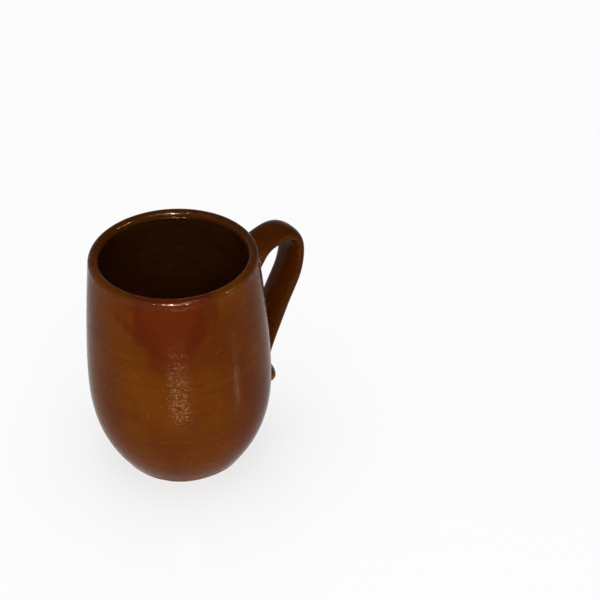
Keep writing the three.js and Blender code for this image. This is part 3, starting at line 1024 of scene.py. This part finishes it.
def make_floor():
    """A plain pale floor that keeps the mug's shadow and is clear from below."""
    corners = [(x * FLOOR_HALF, y * FLOOR_HALF, FLOOR_LEVEL) for x, y in ((-1, -1), (1, -1), (1, 1), (-1, 1))]
    mesh = bpy.data.meshes.new("floor")
    mesh.from_pydata(corners, [], [(0, 1, 2, 3)])
    floor = bpy.data.objects.new("floor", mesh)
    bpy.context.scene.collection.objects.link(floor)
    finish = bpy.data.materials.new("pale_floor")
    finish.use_nodes = True
    tree = finish.node_tree
    tree.nodes.clear()
    paper = add_node(tree, "ShaderNodeBsdfDiffuse", {"Color": FLOOR_PAPER})
    reach = {"Distance": SHADOW_REACH}
    uncovered = add_node(tree, "ShaderNodeAmbientOcclusion", reach, samples=SHADOW_SAMPLES).outputs["AO"]
    level = graded(tree, uncovered, SHADOW_COVER, 1.0, SHADOW_LEVEL, 1.0)
    glow = add_node(tree, "ShaderNodeEmission", {"Color": WHITE, "Strength": level})
    share = calc(tree, "MULTIPLY", seen_directly(tree), FLOOR_GLOW)
    plain = add_node(tree, "ShaderNodeMixShader", {0: share, 1: paper.outputs[0], 2: glow.outputs[0]})
    sheen = {"Roughness": POLISH_ROUGHNESS, "Color": FLOOR_POLISH}
    polish = add_node(tree, "ShaderNodeBsdfGlossy", sheen)
    mixed = add_node(tree, "ShaderNodeAddShader", {0: plain.outputs[0], 1: polish.outputs[0]})
    from_below = add_node(tree, "ShaderNodeNewGeometry").outputs["Backfacing"]
    clear = add_node(tree, "ShaderNodeBsdfTransparent")
    shown = add_node(tree, "ShaderNodeMixShader", {0: from_below, 1: mixed.outputs[0], 2: clear.outputs[0]})
    add_node(tree, "ShaderNodeOutputMaterial", {"Surface": shown.outputs[0]})
    mesh.materials.append(finish)


def make_surround():
    """Pale walls all round, dimmer on the right, and a dim ceiling."""
    world = bpy.data.worlds.new("studio")
    world.use_nodes = True
    bpy.context.scene.world = world
    tree = world.node_tree
    tree.nodes.clear()
    way = add_node(tree, "ShaderNodeTexCoord").outputs["Generated"]
    height = add_node(tree, "ShaderNodeSeparateXYZ", {0: way}).outputs[2]
    right = reach_along(tree, way, TO_RIGHT)
    seen = graded(tree, height, *SEEN_HEIGHTS, 1.0, SEEN_CEILING)
    seen = calc(tree, "MULTIPLY", seen, graded(tree, right, *SEEN_SIDES, 1.0, RIGHT_SIDE))
    room = graded(tree, height, *ROOM_HEIGHTS, ROOM_LIGHT, ROOM_LIGHT / 2)
    room = calc(tree, "MULTIPLY", room, graded(tree, right, *ROOM_SIDES, 1.0, RIGHT_SIDE))
    strength = calc(tree, "MULTIPLY_ADD", seen_directly(tree), calc(tree, "SUBTRACT", seen, room), room)
    sky = add_node(tree, "ShaderNodeBackground", {"Color": WHITE, "Strength": strength})
    add_node(tree, "ShaderNodeOutputWorld", {"Surface": sky.outputs[0]})


make_camera()
make_floor()
make_surround()
make_softbox("front_softbox", bearing=24, rise=46, distance=0.90, width=0.40, height=0.40, watts=3.5)
make_softbox("left_softbox", bearing=-35, rise=40, distance=1.0, width=0.50, height=0.50, watts=1.6)
make_softbox("window", bearing=3, rise=25, distance=0.854, width=0.34, height=0.12, watts=46.0, gleam=True)
make_softbox(
    "high_window", bearing=3, rise=29.5, distance=0.854, width=0.50, height=0.12, watts=5.0, gleam=True
)
make_softbox(
    "side_window", bearing=75, rise=24, distance=0.70, width=0.08, height=0.05, watts=4.5, gleam=True
)

# Materials
glaze_marks = glaze_marks_group()
clay_grain = clay_grain_group()
amber_glaze = outside_finish(glaze_marks)
# The inside's darker brown is partly painted shade
dark_glaze = dark_finish("dark_glaze", glaze_marks, INSIDE_BROWN_AND_SHADE)
recess_glaze = dark_finish("recess_glaze", glaze_marks, RECESS_BROWN)
bare_clay = clay_finish("bare_clay", clay_grain, CLAY_PALE, CLAY_TOASTED, CLAY_SAND_SCALE)
slip_clay = clay_finish("slip", clay_grain, SLIP_PALE, SLIP_TOASTED, SLIP_SAND_SCALE)

# The pieces turned from profiles
turning = turning_tree()

# The outside glaze, up and over the lip
outside = np.vstack([outside_line(WALL_STEPS), lip_line(LIP_STEPS)])
outside_under = np.vstack([outside_line(HIDDEN_WALL_STEPS), lip_line(HIDDEN_LIP_STEPS)])
outside_under = moved_in(outside_under, GLAZE)[::-1]
edge_round = np.array([(outside[0, 0] - GLAZE / 2, GLAZE_LINE - EDGE_DROP)])
outside_profile = np.vstack([edge_round, outside, outside_under, edge_round])
on_wall = np.zeros(len(outside_profile))
below_lip = LIP_START + RINGS_PAST_LIP - outside[:, 1]
on_wall[1 : len(outside) + 1] = smooth_share(below_lip, 0, OUTSIDE_RING_FADE)
near_edge = 1 - smooth_share(outside_profile[:, 1], GLAZE_LINE, GLAZE_LINE + EDGE_WAVE_FADE)
outside_glaze = turned_piece(
    "outside_glaze", turning, outside_profile, amber_glaze, OUTSIDE_THROWING, on_wall, near_edge
)

# The inside glaze, from the lip to the floor
lip_end = lip_line(LIP_STEPS)[-1:]
inside = np.vstack([lip_end, inside_line(INNER_WALL_STEPS, BOWL_STEPS)])
inside_under = np.vstack([lip_end, inside_line(HIDDEN_INNER_STEPS, HIDDEN_BOWL_STEPS)])
inside_under = moved_in(inside_under, GLAZE)[::-1]
inside_under[0, 0] = 0.0
inside_profile = np.vstack([inside_under, inside])
in_cup = np.zeros(len(inside_profile))
below_rim = smooth_share(LIP_START - inside[:, 1], 0, INSIDE_RING_FADE)
in_cup[len(inside_under) :] = below_rim * smooth_share(inside[:, 0], 0, FLOOR_RING_FADE)
inside_glaze = turned_piece("inside_glaze", turning, inside_profile, dark_glaze, INSIDE_THROWING, in_cup)

# The glaze in the recess under the foot
recess = recess_line(RECESS_CORNER_STEPS)
recess_under = moved_in(recess, GLAZE)[::-1]
recess_under[-1, 0] = 0.0
recess_profile = np.vstack([recess, recess_under])
recess_coat = turned_piece("recess_coat", turning, recess_profile, recess_glaze, RECESS_TURNING)

# The clay cup under its coats, bare at the foot ring
foot_outer = float(outer_radius(0.0)) - COAT_OVER_CLAY
foot_inner = RECESS_RADIUS + COAT_OVER_CLAY
round_off = np.linspace(0, math.pi / 2, FOOT_POINTS)
falling = FOOT_ROUND * (1 - np.sin(round_off))
rising = FOOT_ROUND * (1 - np.cos(round_off))
foot_inside = np.column_stack([foot_inner + rising, falling])
foot_outside = np.column_stack([foot_outer - falling, rising])
bare_height = np.linspace(BARE_BAND_START, GLAZE_LINE, BAND_POINTS)
bare_band = np.column_stack([outer_radius(bare_height) - BARE_BAND_DEPTH, bare_height])
clay_recess = moved_in(recess_line(RECESS_CORNER_STEPS), COAT_OVER_CLAY)
clay_recess[0, 0] = 0.0
cup_lines = [
    outside_line(HIDDEN_WALL_STEPS),
    lip_line(HIDDEN_LIP_STEPS),
    inside_line(HIDDEN_INNER_STEPS, HIDDEN_BOWL_STEPS),
]
clay_line = moved_in(np.vstack(cup_lines), COAT_OVER_CLAY)
clay_line[-1, 0] = 0.0
clay_profile = np.vstack([clay_recess, foot_inside, foot_outside, bare_band, clay_line])
clay_cup = turned_piece("clay_cup", turning, clay_profile, bare_clay, CLAY_TURNING)

# The handle's coat, a shell over its clay, and the clay strap
coat_points, coat_run = strap_rings(COAT_OVER_CLAY, STRAP_SIDES)
pressed_on = 1 - smooth_share(coat_points[..., 2], *LOWER_FILLET_TOP)
fillet = np.maximum(LOWER_FILLET * pressed_on, LEAST_FILLET)
under_points, under_run = strap_rings(
    COAT_GAP, STRAP_SIDES, INNER_SKIN_RINGS, INNER_SKIN_ENDS, INNER_SKIN_ENDS
)
coat_shell = np.vstack([under_points[::-1], filleted(coat_points, fillet)])
handle_coat = ring_mesh("handle_coat", coat_shell, np.vstack([under_run[::-1], coat_run]))
handle_coat.data.materials.append(amber_glaze)
clay_points, clay_run = strap_rings(0.0, CLAY_SIDES)
handle_clay = ring_mesh("handle_clay", clay_points, clay_run)
handle_clay.data.materials.append(bare_clay)

for joint_name in ("upper_slip_joint", "lower_slip_joint"):
    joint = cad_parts[joint_name]
    joint.data.materials.clear()
    joint.data.materials.append(slip_clay)

for piece, node, slot in (
    (outside_glaze, "outer_glaze", "amber_glaze"),
    (inside_glaze, "liner_glaze", "dark_glaze"),
    (recess_coat, "recess_glaze", "dark_glaze"),
    (clay_cup, "thrown_body", "bare_clay"),
    (handle_coat, "handle_glaze", "amber_glaze"),
    (handle_clay, "handle_strap", "bare_clay"),
):
    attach(piece, "root")
    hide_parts(node)

bpy.context.scene.view_settings.view_transform = "Standard"
